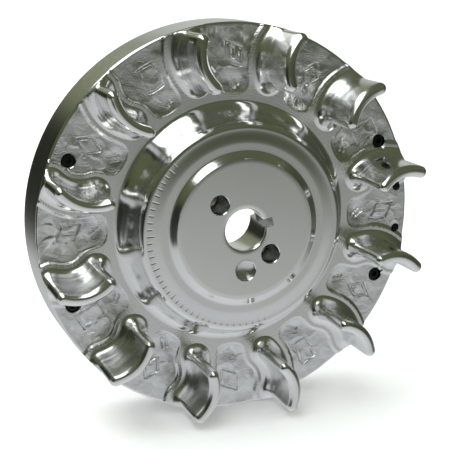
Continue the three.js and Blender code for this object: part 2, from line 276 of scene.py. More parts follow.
def milled_metal(name, color, low, high):
    """Metal off the mill: overlapping arcs and scratches left by the cutter, with a soft waviness."""
    m = Nodes(name, color, 1.0, low)
    spot = m.position()
    warp = m.noise(spot, 0.12, 2.0)
    cells = m.node("ShaderNodeTexVoronoi", Vector=spot, Scale=0.13)
    reach = m.math("ADD", cells.outputs["Distance"], m.math("MULTIPLY", warp, 0.25))
    arcs = m.math("SINE", m.math("MULTIPLY", reach, 58.0))
    fine = m.math("SINE", m.math("MULTIPLY", reach, 131.0))
    patches = m.noise(spot, 0.2, 3.0, 0.55)
    stretched = m.vector(m.math("MULTIPLY", reach, 60.0), m.math("MULTIPLY", warp, 14.0), 0.0)
    scratches = m.noise(stretched, 1.0, 2.0)
    tint = m.darker(patches, color, 0.9)
    wavy = m.bump(patches, 0.2)
    streaky = m.bump(scratches, 0.03, 1.0, wavy)
    lined = m.bump(arcs, 0.006, 1.0, streaky)
    return m.out(Base_Color=tint, Roughness=m.ramp(patches, 0.3, 0.7, low, high),
                 Normal=m.bump(fine, 0.009, 1.0, lined))


def polished_metal(name, color, low, high):
    """Bright metal with the faint lines of a ball mill's passes and a slightly uneven gloss."""
    m = Nodes(name, color, 1.0, low)
    split = m.node("ShaderNodeSeparateXYZ", i0=m.position())
    x, y, z = split.outputs
    passes = m.noise(m.vector(m.math("MULTIPLY", x, 0.02), y, m.math("MULTIPLY", z, 0.02)), 1.3, 1.0)
    cloud = m.noise(m.position(), 0.05, 1.0, 0.4)
    tint = m.darker(cloud, color, 0.94)
    return m.out(Base_Color=tint, Roughness=m.ramp(cloud, 0.3, 0.7, low, high),
                 Normal=m.bump(passes, 0.006))


def steel(name, color, low, high, grain):
    """Steel with a grain; the grain is finer as its number grows."""
    m = Nodes(name, color, 1.0, low)
    grainy = m.noise(m.position(), grain, 3.0, 0.6)
    tint = m.darker(grainy, color, 0.7)
    return m.out(Base_Color=tint, Roughness=m.ramp(grainy, 0.3, 0.7, low, high),
                 Normal=m.bump(grainy, 0.01))


# Each is a name, a colour and the lowest and highest roughness. A turned metal adds the rings' pitch
# and depth in millimetres and its anisotropy, and a steel adds its grain.
SATIN = turned_metal("aluminium_satin", (0.88, 0.885, 0.88), 0.13, 0.19, 0.3, 0.002, 0.3)
TURNED = turned_metal("aluminium_turned", (0.86, 0.865, 0.86), 0.2, 0.3, 0.45, 0.02, 0.6)
BRIGHT = turned_metal("aluminium_bright", (0.89, 0.895, 0.89), 0.12, 0.19, 1.2, 0.003, 0.5)
MILLED = milled_metal("aluminium_milled", (0.87, 0.887, 0.895), 0.13, 0.25)
POLISHED = polished_metal("aluminium_polished", (0.90, 0.905, 0.90), 0.16, 0.22)
# The bored metal is much darker than the rest of the aluminium: painted shade inside the puller holes and on
# the keyway's walls.
BORED_PAINTED_SHADE = turned_metal("aluminium_bored_painted_shade", (0.62, 0.62, 0.6), 0.22, 0.34, 0.5, 0.02, 0.0)
DRILLED = drilled_metal("aluminium_drilled", (0.86, 0.865, 0.86), 0.16, 0.24)
BLACK = steel("steel_black_oxide", (0.035, 0.035, 0.038), 0.3, 0.5, 0.8)
SHOE = steel("steel_ground", (0.46, 0.46, 0.46), 0.25, 0.4, 1.5)
CARRIER = steel("steel_milled", (0.36, 0.36, 0.37), 0.3, 0.5, 0.7)
NICKEL = steel("nickel_plate", (0.66, 0.63, 0.58), 0.15, 0.3, 0.6)


# ---------- vane shape, shared by the vanes and the floor between them ----------
def vane_line(t):
    """Point and direction on the vane's bowed centre line, for t from 0 to 1."""
    middle = (VANE_IN + VANE_OUT) / 2
    a, b, c = (1 - t) ** 2, 2 * t * (1 - t), t * t
    point = Vector((a * VANE_IN + b * middle + c * VANE_OUT, b * 2 * VANE_BOW))
    slope = Vector((VANE_OUT - VANE_IN, 4 * VANE_BOW * (1 - 2 * t)))
    return point, slope.normalized()


LINE_STEPS = 24
LINE_SAMPLES = [vane_line(i / LINE_STEPS)[0] for i in range(LINE_STEPS + 1)]


def vane_distance(radius, degrees):
    """How far a point of the floor lies outside the nearest vane's root fillet."""
    local = (degrees - VANE_PHASE + VANE_PITCH / 2) % VANE_PITCH - VANE_PITCH / 2
    best = math.inf
    for turn in (-VANE_PITCH, 0.0, VANE_PITCH):
        x, y, _ = polar(radius, local + turn)
        for p in LINE_SAMPLES:
            best = min(best, (x - p.x) ** 2 + (y - p.y) ** 2)
    return math.sqrt(best) - VANE_HALF - VANE_ROOT


def ring_points(width, stations, cap_steps, limit):
    """The centre line grown by a width, as one closed loop of points."""
    loop = []
    for i in range(stations + 1):
        p, d = vane_line(i / stations)
        loop.append(p + width * Vector((d.y, -d.x)))
    p, d = vane_line(1)
    for i in range(1, cap_steps):
        a = math.pi * i / cap_steps
        loop.append(p + width * (math.cos(a) * Vector((d.y, -d.x)) + math.sin(a) * d))
    for i in range(stations, -1, -1):
        p, d = vane_line(i / stations)
        loop.append(p + width * Vector((-d.y, d.x)))
    p, d = vane_line(0)
    for i in range(1, cap_steps):
        a = math.pi * i / cap_steps
        loop.append(p + width * (math.cos(a) * Vector((-d.y, d.x)) - math.sin(a) * d))
    return [q if q.length < limit else q * (limit / q.length) for q in loop]


# ---------- mesh helpers ----------
EDGE = 35.0             # edges that turn by more degrees than this stay sharp


def smooth_shaded(mesh, sharp):
    """Smooth faces, with an edge kept sharp where it turns by more than the angle given."""
    mesh.polygons.foreach_set("use_smooth", [True] * len(mesh.polygons))
    mesh.set_sharp_from_angle(angle=math.radians(sharp))


def mesh_from(name, points, faces, zones=None):
    """A mesh with its faces turned outward; zones give each face its material's place."""
    mesh = bpy.data.meshes.new(name)
    mesh.from_pydata([place(p) for p in points], [], faces)
    if zones:
        mesh.polygons.foreach_set("material_index", zones)
    mesh.validate()
    mesh.update()
    work = bmesh.new()
    work.from_mesh(mesh)
    bmesh.ops.recalc_face_normals(work, faces=work.faces)
    work.to_mesh(mesh)
    work.free()
    return mesh


def linked(name, data):
    """A mesh, light or camera as an object of the scene."""
    obj = bpy.data.objects.new(name, data)
    bpy.context.collection.objects.link(obj)
    return obj


def solid(name, points, faces, materials, sharp=EDGE, zones=None):
    """An object from a closed shape."""
    mesh = mesh_from(name, points, faces, zones)
    for material in materials:
        mesh.materials.append(material)
    smooth_shaded(mesh, sharp)
    return linked(name, mesh)


def piece(obj, node):
    """Hands a piece to the frame: it rides the one body and stands in for a CAD node."""
    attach(obj, "root")
    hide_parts(node)


def prism(radius, low, high, centre, sides, turn=0):
    """Points and faces of an upright prism, which is a rod when it has many sides."""
    cx, cy, _ = centre
    ring = [polar(radius, 360 * j / sides + turn) for j in range(sides)]
    points = [(x + cx, y + cy, z) for z in (low, high) for x, y, _ in ring]
    faces = [tuple(range(sides))[::-1], tuple(range(sides, 2 * sides))]
    faces += [(j, (j + 1) % sides, sides + (j + 1) % sides, sides + j) for j in range(sides)]
    return points, faces


def turned_plug(outline, centre, steps=40):
    """Points and faces of a solid of revolution that starts and ends on its own axis."""
    cx, cy, _ = centre
    points = [(cx, cy, outline[0][1])]
    for r, z in outline[1:-1]:
        points += [(x + cx, y + cy, z) for x, y, _ in (polar(r, 360 * j / steps) for j in range(steps))]
    points.append((cx, cy, outline[-1][1]))
    rings = len(outline) - 2
    faces = [(0, 1 + (j + 1) % steps, 1 + j) for j in range(steps)]
    for i in range(rings - 1):
        low, high = 1 + i * steps, 1 + (i + 1) * steps
        faces += [(low + j, low + (j + 1) % steps, high + (j + 1) % steps, high + j) for j in range(steps)]
    last, top = 1 + (rings - 1) * steps, len(points) - 1
    faces += [(last + j, last + (j + 1) % steps, top) for j in range(steps)]
    return points, faces


def sector(inner, outer, start, end, low, high, steps=48):
    """Points and faces of a ring segment."""
    points = []
    for i in range(steps + 1):
        a = start + (end - start) * i / steps
        points += [polar(inner, a, low), polar(outer, a, low), polar(outer, a, high), polar(inner, a, high)]
    faces = [(0, 1, 2, 3), tuple(4 * steps + k for k in (3, 2, 1, 0))]
    for i in range(steps):
        a, b = 4 * i, 4 * (i + 1)
        faces += [(a + k, b + k, b + (k + 1) % 4, a + (k + 1) % 4) for k in range(4)]
    return points, faces


def joined(parts):
    """Several shapes' points and faces as one list of each."""
    points, faces = [], []
    for more_points, more_faces in parts:
        offset = len(points)
        points += more_points
        faces += [tuple(i + offset for i in face) for face in more_faces]
    return points, faces


def cut(obj, parts, sharp=EDGE):
    """Subtracts closed shapes, each (points, faces), and keeps the result as plain mesh."""
    cutter = linked("cutter", mesh_from("cutter", *joined(parts)))
    modifier = obj.modifiers.new("cut", "BOOLEAN")
    modifier.operation = "DIFFERENCE"
    modifier.solver = "EXACT"
    modifier.object = cutter
    bpy.context.view_layer.update()
    evaluated = obj.evaluated_get(bpy.context.evaluated_depsgraph_get())
    result = bpy.data.meshes.new_from_object(evaluated)
    obj.modifiers.clear()
    old = obj.data
    obj.data = result
    bpy.data.meshes.remove(old)
    bpy.data.objects.remove(cutter)
    smooth_shaded(result, sharp)


def bevel(obj, width):
    """Breaks the edges that turn by more than 40 degrees."""
    modifier = obj.modifiers.new("edges", "BEVEL")
    modifier.width = width * MM
    modifier.segments = 3
    modifier.limit_method = "ANGLE"
    modifier.angle_limit = math.radians(40)
    normals = obj.modifiers.new("normals", "WEIGHTED_NORMAL")
    normals.keep_sharp = True


# ---------- the floor between the vanes ----------
LAND = 0.55                         # width of the turned land beside each vane's root
POCKET_START = 57.2                 # the milled pockets begin at this radius
POCKET_ROUND = 9.0                  # how softly a pocket's inner end is rounded
POCKET_STEP, STEP_EDGE = 0.25, 0.5  # sharp step down from the land, and its width
INNER_DISH, DISH_EDGE = 1.0, 5.0    # extra depth at a pocket's inner end, and the width of its side
DISH_FADE = (59, 68)                # the radii between which that dish runs out
OUTWARD_FALL, FALL_EDGE = 0.9, 1.3  # how far a pocket's floor falls on its way to the rim
RIPPLE_SEED, RIPPLES = 7, 9
RIPPLE_DEPTH = 0.18
MARK_START = (0.3, 1.6)             # distances from the land over which the cutter's marks come in
PASS_COUNT, PASS_EDGE = 9, 1.3      # cutter passes in a pocket, and how softly each one ends
GROOVE_WIDTH, GROOVE_DEPTH = 0.7, 0.6
GROOVE_START = (0.8, 1.6)           # distances from the land over which the grooves come in
LADDER_POCKET = 2                   # the pocket with a row of short ridges near the rim
LADDER_IN, LADDER_OUT = (83.6, 84.2), (86.6, 87.2)
LADDER_START = (0.5, 1.5)
LADDER_PITCH, LADDER_DEPTH = 1.3, 0.1

random.seed(RIPPLE_SEED)
ripples = [(random.uniform(0, 2 * math.pi), random.uniform(0.25, 0.6), random.uniform(0, 6.28))
           for _ in range(RIPPLES)]


def ripple(x, y):
    """Slow unevenness of the milled floor, from -1 to 1."""
    waves = (math.sin(k * (x * math.cos(a) + y * math.sin(a)) + p) for a, k, p in ripples)
    return sum(waves) / RIPPLES


def cutter_passes(index):
    """Where the milling cutter turned in a pocket: centre, radius and depth of its round marks."""
    draw = random.Random(100 + index)
    return [(draw.uniform(62, 84), draw.uniform(-8, 8), draw.uniform(3.0, 7.0), draw.uniform(0.1, 0.28))
            for _ in range(PASS_COUNT)]


PASSES = [cutter_passes(index) for index in range(VANES)]


def scallops(index, x, y):
    """Shallow dishes left inside the cutter's circles; the last pass over a spot wins."""
    height = 0.0
    for cx, cy, reach, depth in PASSES[index]:
        away = math.hypot(x - cx, y - cy)
        if away < reach:
            fade = smoothstep(reach, reach - PASS_EDGE, away)
            height = height * (1 - fade) + fade * depth * ((away / reach) ** 2 - 0.8)
    return height


def groove(x, y, start, end):
    """Depth of a flat-bottomed groove with round ends between two points."""
    ax, ay = start
    bx, by = end
    dx, dy = bx - ax, by - ay
    t = min(1.0, max(0.0, ((x - ax) * dx + (y - ay) * dy) / (dx * dx + dy * dy)))
    gap = math.hypot(x - ax - t * dx, y - ay - t * dy)
    return GROOVE_DEPTH * (1 - smoothstep(GROOVE_WIDTH * 0.55, GROOVE_WIDTH, gap))


def gap_marks(style):
    """Plain grooves in a pocket, in its own frame: x out along the radius, y across.

    Two short bars, and a box, a diamond or a slanted box with a bar in it.
    """
    bars = [((60.2, -0.6), (63.4, 2.0)), ((61.4, -2.2), (65.0, 0.6))]
    near, far, half, middle = 69.5, 80.5, 3.6, 75.0
    if style == 0:
        corners = ((near, -half), (far, -half), (far, half), (near, half))
    elif style == 1:
        corners = ((near, 0.0), (middle, -half), (far, 0.0), (middle, half))
    else:
        corners = ((near, -half), (far - 3, -half), (far, half), (near + 3, half))
        bars.append(((near + 3.5, 0.0), (far - 3.5, 0.0)))
    return bars + [(corners[i], corners[(i + 1) % 4]) for i in range(4)]


STYLES = 3
MARKS = [gap_marks(style) for style in range(STYLES)]


def ladder(radius, degrees, inside):
    """Depth of the row of short ridges in one pocket."""
    along = smoothstep(*LADDER_IN, radius) * (1 - smoothstep(*LADDER_OUT, radius))
    share = along * smoothstep(*LADDER_START, inside)
    return share * LADDER_DEPTH * math.cos(math.radians(degrees) * radius * math.tau / LADDER_PITCH)


def floor_height(radius, degrees):
    """Height of the floor: turned land, then a pocket that is dished, with cutter marks and grooves."""
    outside = vane_distance(radius, degrees)
    inside = smooth_min(outside - LAND, radius - POCKET_START, POCKET_ROUND)
    if inside <= 0:
        return FACE
    dish = INNER_DISH * (1 - smoothstep(*DISH_FADE, radius))
    fall = OUTWARD_FALL * max(0.0, radius - POCKET_START) / (RIM_R - POCKET_START)
    depth = dish * smoothstep(0, DISH_EDGE, inside) + fall * smoothstep(0, FALL_EDGE, inside)
    depth += POCKET_STEP * smoothstep(0, STEP_EDGE, inside)
    index = math.floor((degrees - VANE_PHASE) * VANES / 360) % VANES
    centre = VANE_PHASE + (index + 0.5) * VANE_PITCH
    x, y, _ = polar(radius, degrees - centre)
    settled = smoothstep(*MARK_START, inside)
    depth += settled * (RIPPLE_DEPTH * ripple(x + 31 * index, y) - scallops(index, x, y))
    clear_of_edge = smoothstep(*GROOVE_START, inside)
    if clear_of_edge:
        depth += clear_of_edge * max(groove(x, y, a, b) for a, b in MARKS[index % STYLES])
    if index == LADDER_POCKET:
        depth += ladder(radius, degrees, inside)
    return FACE - max(depth, 0.0)


# ---------- billet body ----------
TICK_STEP = 4                       # degrees from one tick of the ring's scale to the next
TICK_FROM, TICK_TO = 136, 285       # the angles that the scale runs between
TICK_OUTER, TICK_LONG, TICK_SHORT = 43.9, 41.0, 42.0
TICK_HALF, TICK_DEPTH = 0.34, 0.1


def ring_height(radius, degrees, z):
    """The ring round the boss carries a plain engraved scale over part of its turn."""
    if not TICK_FROM <= degrees <= TICK_TO:
        return z
    index = round(degrees / TICK_STEP)
    inner = TICK_LONG if index % 5 == 0 else TICK_SHORT
    if not inner < radius < TICK_OUTER:
        return z
    across = abs(degrees - index * TICK_STEP) * math.pi / 180 * radius
    return z - TICK_DEPTH * (1 - smoothstep(TICK_HALF * 0.3, TICK_HALF, across))


def ring_line():
    """The ring round the boss: level at first, then easing down to the shoulder."""
    start, ease, end = BOSS_FOOT_R + 0.8, 37.6, SHOULDER_R - SHOULDER_ROUND - 0.1
    return [(r, BOSS_FOOT + (SHOULDER_FACE - BOSS_FOOT) * smoothstep(ease, end - 0.4, r))
            for r, _ in line((start, 0), (end, 0), 34)]


def hub_wall():
    """The hub's hollow wall, upright under the shoulder and sweeping out flat at its foot."""
    height = SHOULDER_FACE - SHOULDER_ROUND - FACE - 0.1
    foot = HUB_FOOT_R + 0.4
    width = foot - SHOULDER_R
    steps = 14
    curve = []
    for i in range(steps + 1):
        drop = math.sin(math.radians(90 * i / steps)) ** (2 / WALL_POWER)
        inset = (1 - min(1.0, drop) ** WALL_POWER) ** (1 / WALL_POWER)
        curve.append((foot - width * inset, FACE + height * (1 - drop)))
    return curve


FINE, COARSE = 1440, 360            # points round a row
BODY_FINISHES = [SATIN, TURNED, BRIGHT, MILLED, BORED_PAINTED_SHADE, DRILLED]
SATIN_ZONE, TURNED_ZONE, BRIGHT_ZONE, MILLED_ZONE, BORED_PAINTED_SHADE_ZONE, DRILLED_ZONE = range(len(BODY_FINISHES))
BORE_EDGE, BOSS_EDGE, BOSS_FOOT_ROUND = 0.9, 0.35, 1.5
RIM_EDGE, RIM_BACK_EDGE, RIM_INNER_EDGE = 1.0, 2.0, 0.8
WEB_ROUND, HUB_BACK_ROUND, HUB_BACK_EDGE = 3.5, 2.1, 0.5


def body_rows():
    """Rows of the billet's skin: radius, height, points round, and zone of the band before the row."""
    wall_top = SHOULDER_FACE - SHOULDER_ROUND
    face_start = 11.5
    parts = [
        (line((BORE_BACK, BORE_END), (BORE_FRONT, BOSS_FACE - BORE_EDGE), 8), SATIN_ZONE, COARSE),
        (arc(BORE_FRONT + BORE_EDGE, BOSS_FACE - BORE_EDGE, BORE_EDGE, 180, 90, 4), BRIGHT_ZONE, COARSE),
        (line((face_start, BOSS_FACE), (BOSS_R - BOSS_EDGE, BOSS_FACE), 10), SATIN_ZONE, COARSE),
        (arc(BOSS_R - BOSS_EDGE, BOSS_FACE - BOSS_EDGE, BOSS_EDGE, 70, 0, 3), BRIGHT_ZONE, COARSE),
        (line((BOSS_R + 0.12, BOSS_FACE - 0.42), (BOSS_R + 2.3, BOSS_FOOT + 0.32), 3), BRIGHT_ZONE, COARSE),
        (arc(BOSS_FOOT_R, BOSS_FOOT + BOSS_FOOT_ROUND, BOSS_FOOT_ROUND, 238, 270, 6), BRIGHT_ZONE, COARSE),
        (ring_line(), SATIN_ZONE, FINE),
        (arc(SHOULDER_R - SHOULDER_ROUND, wall_top, SHOULDER_ROUND, 84, 0, 9), BRIGHT_ZONE, COARSE),
        (hub_wall(), BRIGHT_ZONE, COARSE),
        (line((FLOOR_START, FACE), (FLOOR_END, FACE), 128), MILLED_ZONE, FINE),
        (arc(RIM_R - RIM_EDGE, FACE - RIM_EDGE, RIM_EDGE, 90, 0, 6), BRIGHT_ZONE, FINE),
        (line((RIM_R, FACE - 3), (RIM_R, RIM_BACK + 3), 6), BRIGHT_ZONE, COARSE),
        (arc(RIM_R - RIM_BACK_EDGE, RIM_BACK + RIM_BACK_EDGE, RIM_BACK_EDGE, 0, -90, 7), BRIGHT_ZONE, COARSE),
        (line((RIM_R - 3, RIM_BACK), (RIM_INNER + 1.2, RIM_BACK), 4), TURNED_ZONE, COARSE),
        (arc(RIM_INNER + RIM_INNER_EDGE, RIM_BACK + RIM_INNER_EDGE, RIM_INNER_EDGE, 270, 180, 3),
         TURNED_ZONE, COARSE),
        (line((RIM_INNER, RIM_BACK + 2), (RIM_INNER, WEB_BACK - 4), 4), TURNED_ZONE, COARSE),
        (arc(RIM_INNER - WEB_ROUND, WEB_BACK - WEB_ROUND, WEB_ROUND, 0, 90, 7), TURNED_ZONE, COARSE),
        (line((RIM_INNER - 6, WEB_BACK), (HUB_BACK_R + 4, WEB_BACK), 14), TURNED_ZONE, COARSE),
        (arc(HUB_BACK_R + 2.4, WEB_BACK - HUB_BACK_ROUND, HUB_BACK_ROUND, 90, 165, 5), TURNED_ZONE, COARSE),
        (arc(HUB_BACK_R - HUB_BACK_EDGE, HUB_BACK_EDGE, HUB_BACK_EDGE, 0, -90, 3), TURNED_ZONE, COARSE),
        (line((HUB_BACK_R - 1.5, 0), (RECESS_R + 0.6, 0), 4), TURNED_ZONE, COARSE),
        (arc(RECESS_R + HUB_BACK_EDGE, HUB_BACK_EDGE, HUB_BACK_EDGE, 270, 180, 3), TURNED_ZONE, COARSE),
        (line((RECESS_R, 1.5), (RECESS_R, BORE_END), 3), TURNED_ZONE, COARSE),
    ]
    return [(r, z, steps, zone) for points, zone, steps in parts for r, z in points]


def row_points(r, z, steps, zone):
    """One row's points, with the engraved scale, the floor's relief or the rim's edge that follows it."""
    points = []
    for j in range(steps):
        a = 360 * j / steps
        height = z
        if zone == MILLED_ZONE:
            height = floor_height(r, a)
        elif steps == FINE and r > HUB_FOOT_R:
            height = z + floor_height(FLOOR_END, a) - FACE
        elif steps == FINE:
            height = ring_height(r, a, z)
        points.append(polar(r, a, height))
    return points


def band(a, n, b, m):
    """Faces between a row of n points that starts at a and a row of m points that starts at b."""
    if n == m:
        return [(a + j, b + j, b + (j + 1) % n, a + (j + 1) % n) for j in range(n)]
    few, many = (a, b) if n < m else (b, a)
    small, large = min(n, m), max(n, m)
    ratio = large // small
    middle = ratio // 2
    faces = []
    for j in range(small):
        k = (j + 1) % small
        ring = [many + (j * ratio + q) % large for q in range(ratio + 1)]
        faces += [(few + (j if q < middle else k), ring[q], ring[q + 1]) for q in range(ratio)]
        faces.append((few + j, ring[middle], few + k))
    return faces if n < m else [face[::-1] for face in faces]


def body_mesh():
    rows = body_rows()
    points, starts = [], []
    for row in rows:
        starts.append(len(points))
        points += row_points(*row)
    faces, zones = [], []
    for i, (r, _, steps, zone_before) in enumerate(rows):
        _, _, next_steps, zone = rows[(i + 1) % len(rows)]
        if zone == MILLED_ZONE and (zone_before != MILLED_ZONE or r < POCKET_START - 0.4):
            zone = TURNED_ZONE
        strip = band(starts[i], steps, starts[(i + 1) % len(rows)], next_steps)
        faces += strip
        zones += [zone] * len(strip)
    # lands beside the vanes keep the lathe's finish
    for index, face in enumerate(faces):
        if zones[index] == MILLED_ZONE and abs(points[face[0]][2] - FACE) < 0.05:
            zones[index] = TURNED_ZONE
    return points, faces, zones


def drilling(radius, pitch, angle, depth):
    """A drilled hole in the boss face, with a drill point at its end and its edge broken."""
    floor = BOSS_FACE - depth
    point = floor - radius / math.tan(math.radians(DRILL_HALF_ANGLE))
    rim = 0.35
    outline = [(0, point), (radius, floor), (radius, BOSS_FACE - rim), (radius + rim, BOSS_FACE),
               (radius + rim, BOSS_FACE + 2), (0, BOSS_FACE + 2)]
    return turned_plug(outline, polar(pitch, angle))


def keyway():
    """A block along the bore's wall, leaning with the taper."""
    taper = math.atan((BORE_BACK - BORE_FRONT) / (BOSS_FACE - BORE_END))
    middle = (BORE_BACK + BORE_FRONT) / 2
    half = (BOSS_FACE - BORE_END) / 2 + 3
    centre = (BOSS_FACE + BORE_END) / 2
    turn = math.radians(KEY_ANGLE)
    along, across = math.cos(turn), math.sin(turn)
    points = []
    for z in (-half, half):
        for x in (BORE_FRONT / 2, middle + KEY_DEPTH - z * math.tan(taper)):
            for y in (-KEY_WIDTH / 2, KEY_WIDTH / 2):
                points.append((x * along - y * across, x * across + y * along, centre + z))
    faces = [(0, 1, 3, 2), (4, 6, 7, 5), (0, 4, 5, 1), (2, 3, 7, 6), (0, 2, 6, 4), (1, 5, 7, 3)]
    return points, faces


def counterbore(radius, pitch, angle, low):
    """A screw's access hole, with its edge broken where it meets the pocket's floor."""
    edge = 0.3
    top = floor_height(pitch, angle)
    return turned_plug([(0, low), (radius, low), (radius, top - edge), (radius + 3 * edge, top + 2 * edge),
                        (radius + 3 * edge, FACE + 9), (0, FACE + 9)], polar(pitch, angle))


def finish_holes(mesh):
    """Walls that are drilled or slotted have a finish of their own; the darker bored metal of the puller
    holes and the keyway's walls is painted shade in those recesses.
    """
    holes = [(polar(PULLER_PITCH, a), PULLER_R + 0.05, PULLER_DEPTH + 3, BORED_PAINTED_SHADE_ZONE) for a in PULLER_ANGLES]
    holes.append((polar(TIMING_PITCH, TIMING_ANGLE), TIMING_R + 0.05, TIMING_DEPTH + 3.6, DRILLED_ZONE))
    below_edge = 0.6
    turn = math.radians(KEY_ANGLE)
    for face in mesh.polygons:
        x, y, z = face.center.x / MM, face.center.z / MM, -face.center.y / MM
        deep = BOSS_FACE - z
        if deep <= below_edge:
            continue
        for (cx, cy, _), reach, depth, zone in holes:
            if deep < depth and math.hypot(x - cx, y - cy) < reach:
                face.material_index = zone
        along = x * math.cos(turn) + y * math.sin(turn)
        across = y * math.cos(turn) - x * math.sin(turn)
        if BORE_BACK < along < BORE_BACK + 4 and abs(across) < KEY_WIDTH / 2 + 0.05:
            face.material_index = BORED_PAINTED_SHADE_ZONE


def make_body():
    points, faces, zones = body_mesh()
    obj = solid("billet", points, faces, BODY_FINISHES, zones=zones)
    cutters = [keyway()]
    cutters += [drilling(PULLER_R, PULLER_PITCH, a, PULLER_DEPTH) for a in PULLER_ANGLES]
    cutters += [drilling(TIMING_R, TIMING_PITCH, TIMING_ANGLE, TIMING_DEPTH)]
    cutters += [counterbore(FIXING_ACCESS, FIXING_PITCH, a, POCKET_FRONT - 1) for a in FIXINGS]
    cutters += [counterbore(PIN_R + 0.15, PIN_PITCH, s * PIN_ANGLE, POCKET_FRONT - 1) for s in (1, -1)]
    cut(obj, cutters)
    finish_holes(obj.data)
    carrier_pocket = sector(CARRIER_INNER - INSERT_GAP, RIM_R + 3, -INSERT_HALF, INSERT_HALF,
                            POCKET_BACK, POCKET_FRONT)
    weight_slot = sector(WEIGHT_INNER - INSERT_GAP, WEIGHT_OUTER + INSERT_GAP,
                         180 - INSERT_HALF, 180 + INSERT_HALF, RIM_BACK - 1, POCKET_FRONT)
    cut(obj, [carrier_pocket, weight_slot])
    piece(obj, "flywheel_body")


# ---------- vanes ----------
def crest_at(radius):
    t = min(1.0, max(0.0, (radius - VANE_IN) / (VANE_OUT - VANE_IN)))
    return CREST_INNER + (CREST_OUTER - CREST_INNER) * t


def vane_levels():
    """Levels up a vane: half its width, and either a height or how far up the blade the level is.

    The blade's shoulder is at 1, and what goes beyond 1 is millimetres above the shoulder.
    """
    foot = FACE - VANE_SINK
    fillet_steps, crest_steps, crest_end = 12, 11, 84
    levels = []
    for i in range(fillet_steps + 1):
        a = math.radians(90 * i / fillet_steps)
        levels.append((VANE_HALF + VANE_ROOT * (1 - math.sin(a)), foot + VANE_ROOT * (1 - math.cos(a)), None))
    for share in (0.25, 0.5, 0.75):
        levels.append((VANE_HALF, None, share))
    for i in range(crest_steps + 1):
        a = math.radians(crest_end * i / crest_steps)
        levels.append((VANE_HALF * math.cos(a), None, 1 + VANE_HALF * math.sin(a)))
    return levels


def make_vane(number):
    """One vane: rings round the bowed centre line, from the root fillet to the rounded crest."""
    stations, caps = 30, 14
    base = FACE - VANE_SINK + VANE_ROOT
    levels = vane_levels()
    angle = VANE_PHASE + (number - 1) * VANE_PITCH
    turn = math.radians(angle)
    points = []
    for width, height, climb in levels:
        loop = ring_points(width, stations, caps, VANE_LIMIT)
        for p in loop:
            z = height
            if climb is not None:
                shoulder = crest_at(p.length) - VANE_HALF
                z = base + (shoulder - base) * climb if climb < 1 else shoulder + climb - 1
            points.append((p.x * math.cos(turn) - p.y * math.sin(turn),
                           p.x * math.sin(turn) + p.y * math.cos(turn), z))
    size = len(points) // len(levels)
    faces = [tuple(range(size))[::-1]]
    for i in range(len(levels) - 1):
        low, high = i * size, (i + 1) * size
        faces += [(low + j, low + (j + 1) % size, high + (j + 1) % size, high + j) for j in range(size)]
    # the crest is closed from side to side, with one face at each round end
    side, cap = stations + 1, caps - 1
    top = list(range((len(levels) - 1) * size, len(points)))
    rights, outer = top[:side], top[side:side + cap]
    lefts, inner = top[side + cap:2 * side + cap], top[2 * side + cap:]
    for i in range(stations):
        faces.append((rights[i], rights[i + 1], lefts[stations - i - 1], lefts[stations - i]))
    faces.append((rights[-1], *outer, lefts[0]))
    faces.append((lefts[-1], *inner, rights[0]))
    name = f"vane_{number:02d}"
    obj = solid(name + "_blade", points, faces, [POLISHED])
    near = [a for a in FIXINGS if abs((a - angle + 180) % 360 - 180) < 12]
    if near:
        cut(obj, [counterbore(FIXING_ACCESS, FIXING_PITCH, a, FACE - 4) for a in near])
    piece(obj, name)


# ---------- magnet group and counterweight ----------
def socket_screw(name, angle):
    """A black cap screw with a hexagon socket."""
    low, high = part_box(name)
    top, bottom = -low[1] / MM, -high[1] / MM
    centre = polar(FIXING_PITCH, angle)
    head, seat, shank = 2.75, top - 3.0, 1.5
    socket_r, socket_depth = 1.45, 1.7
    outline = [(0, bottom), (shank - 0.4, bottom), (shank, bottom + 0.4), (shank, seat),
               (head - 0.15, seat), (head, seat + 0.15), (head, top - 0.45),
               (head - 0.13, top - 0.13), (head - 0.45, top), (0, top)]
    obj = solid(name + "_black", *turned_plug(outline, centre, 48), [BLACK])
    cut(obj, [prism(socket_r, top - socket_depth, top + 1, centre, 6, angle)])
    piece(obj, name)


def make_pin(name, sign):
    """A shoe's pin, with a rounded end and a small centre mark."""
    low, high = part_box(name)
    top, bottom = -low[1] / MM, -high[1] / MM
    edge, chamfer = 0.35, 0.2
    outline = [(0, bottom), (PIN_R - chamfer, bottom), (PIN_R, bottom + chamfer), (PIN_R, top - edge),
               *arc(PIN_R - edge, top - edge, edge, 20, 70, 2), (PIN_R - edge, top),
               (0.45, top), (0.3, top - 0.5), (0, top - 0.6)]
    obj = solid(name + "_steel", *turned_plug(outline, polar(PIN_PITCH, sign * PIN_ANGLE), 32), [BLACK])
    piece(obj, name)


def insert(name, node, side, radii, heights, extra_cutters):
    """A steel block in the rim on the side given, with a stepped hole for each of its two screws."""
    gap = math.degrees(INSERT_GAP / radii[0])
    shape = sector(*radii, side - INSERT_HALF + gap, side + INSERT_HALF - gap, *heights)
    obj = solid(name, *shape, [CARRIER])
    seat = FACE - 4.8
    bottom, step = seat - 16.3, seat - 0.3
    thread_r, head_r = 1.8, 3.05
    screw_hole = [(0, bottom), (thread_r, bottom), (thread_r, step),
                  (head_r, step), (head_r, FACE + 2), (0, FACE + 2)]
    holes = [turned_plug(screw_hole, polar(FIXING_PITCH, side + sign * FIXING_ANGLE)) for sign in (1, -1)]
    cut(obj, holes + extra_cutters)
    bevel(obj, 0.25)
    piece(obj, node)


SHOE_INNER, SHOE_OUTER = 82.0, RIM_R - 0.05
SHOE_NEAR, SHOE_FAR = 1.8, 14.5                     # the angles that a shoe lies between
SHEETS, SHEET_GROOVE, SHEET_GROOVE_HALF = 24, 0.12, 0.08
SHOE_EDGE = 20                                      # a shoe's fine edges stay sharp from this angle


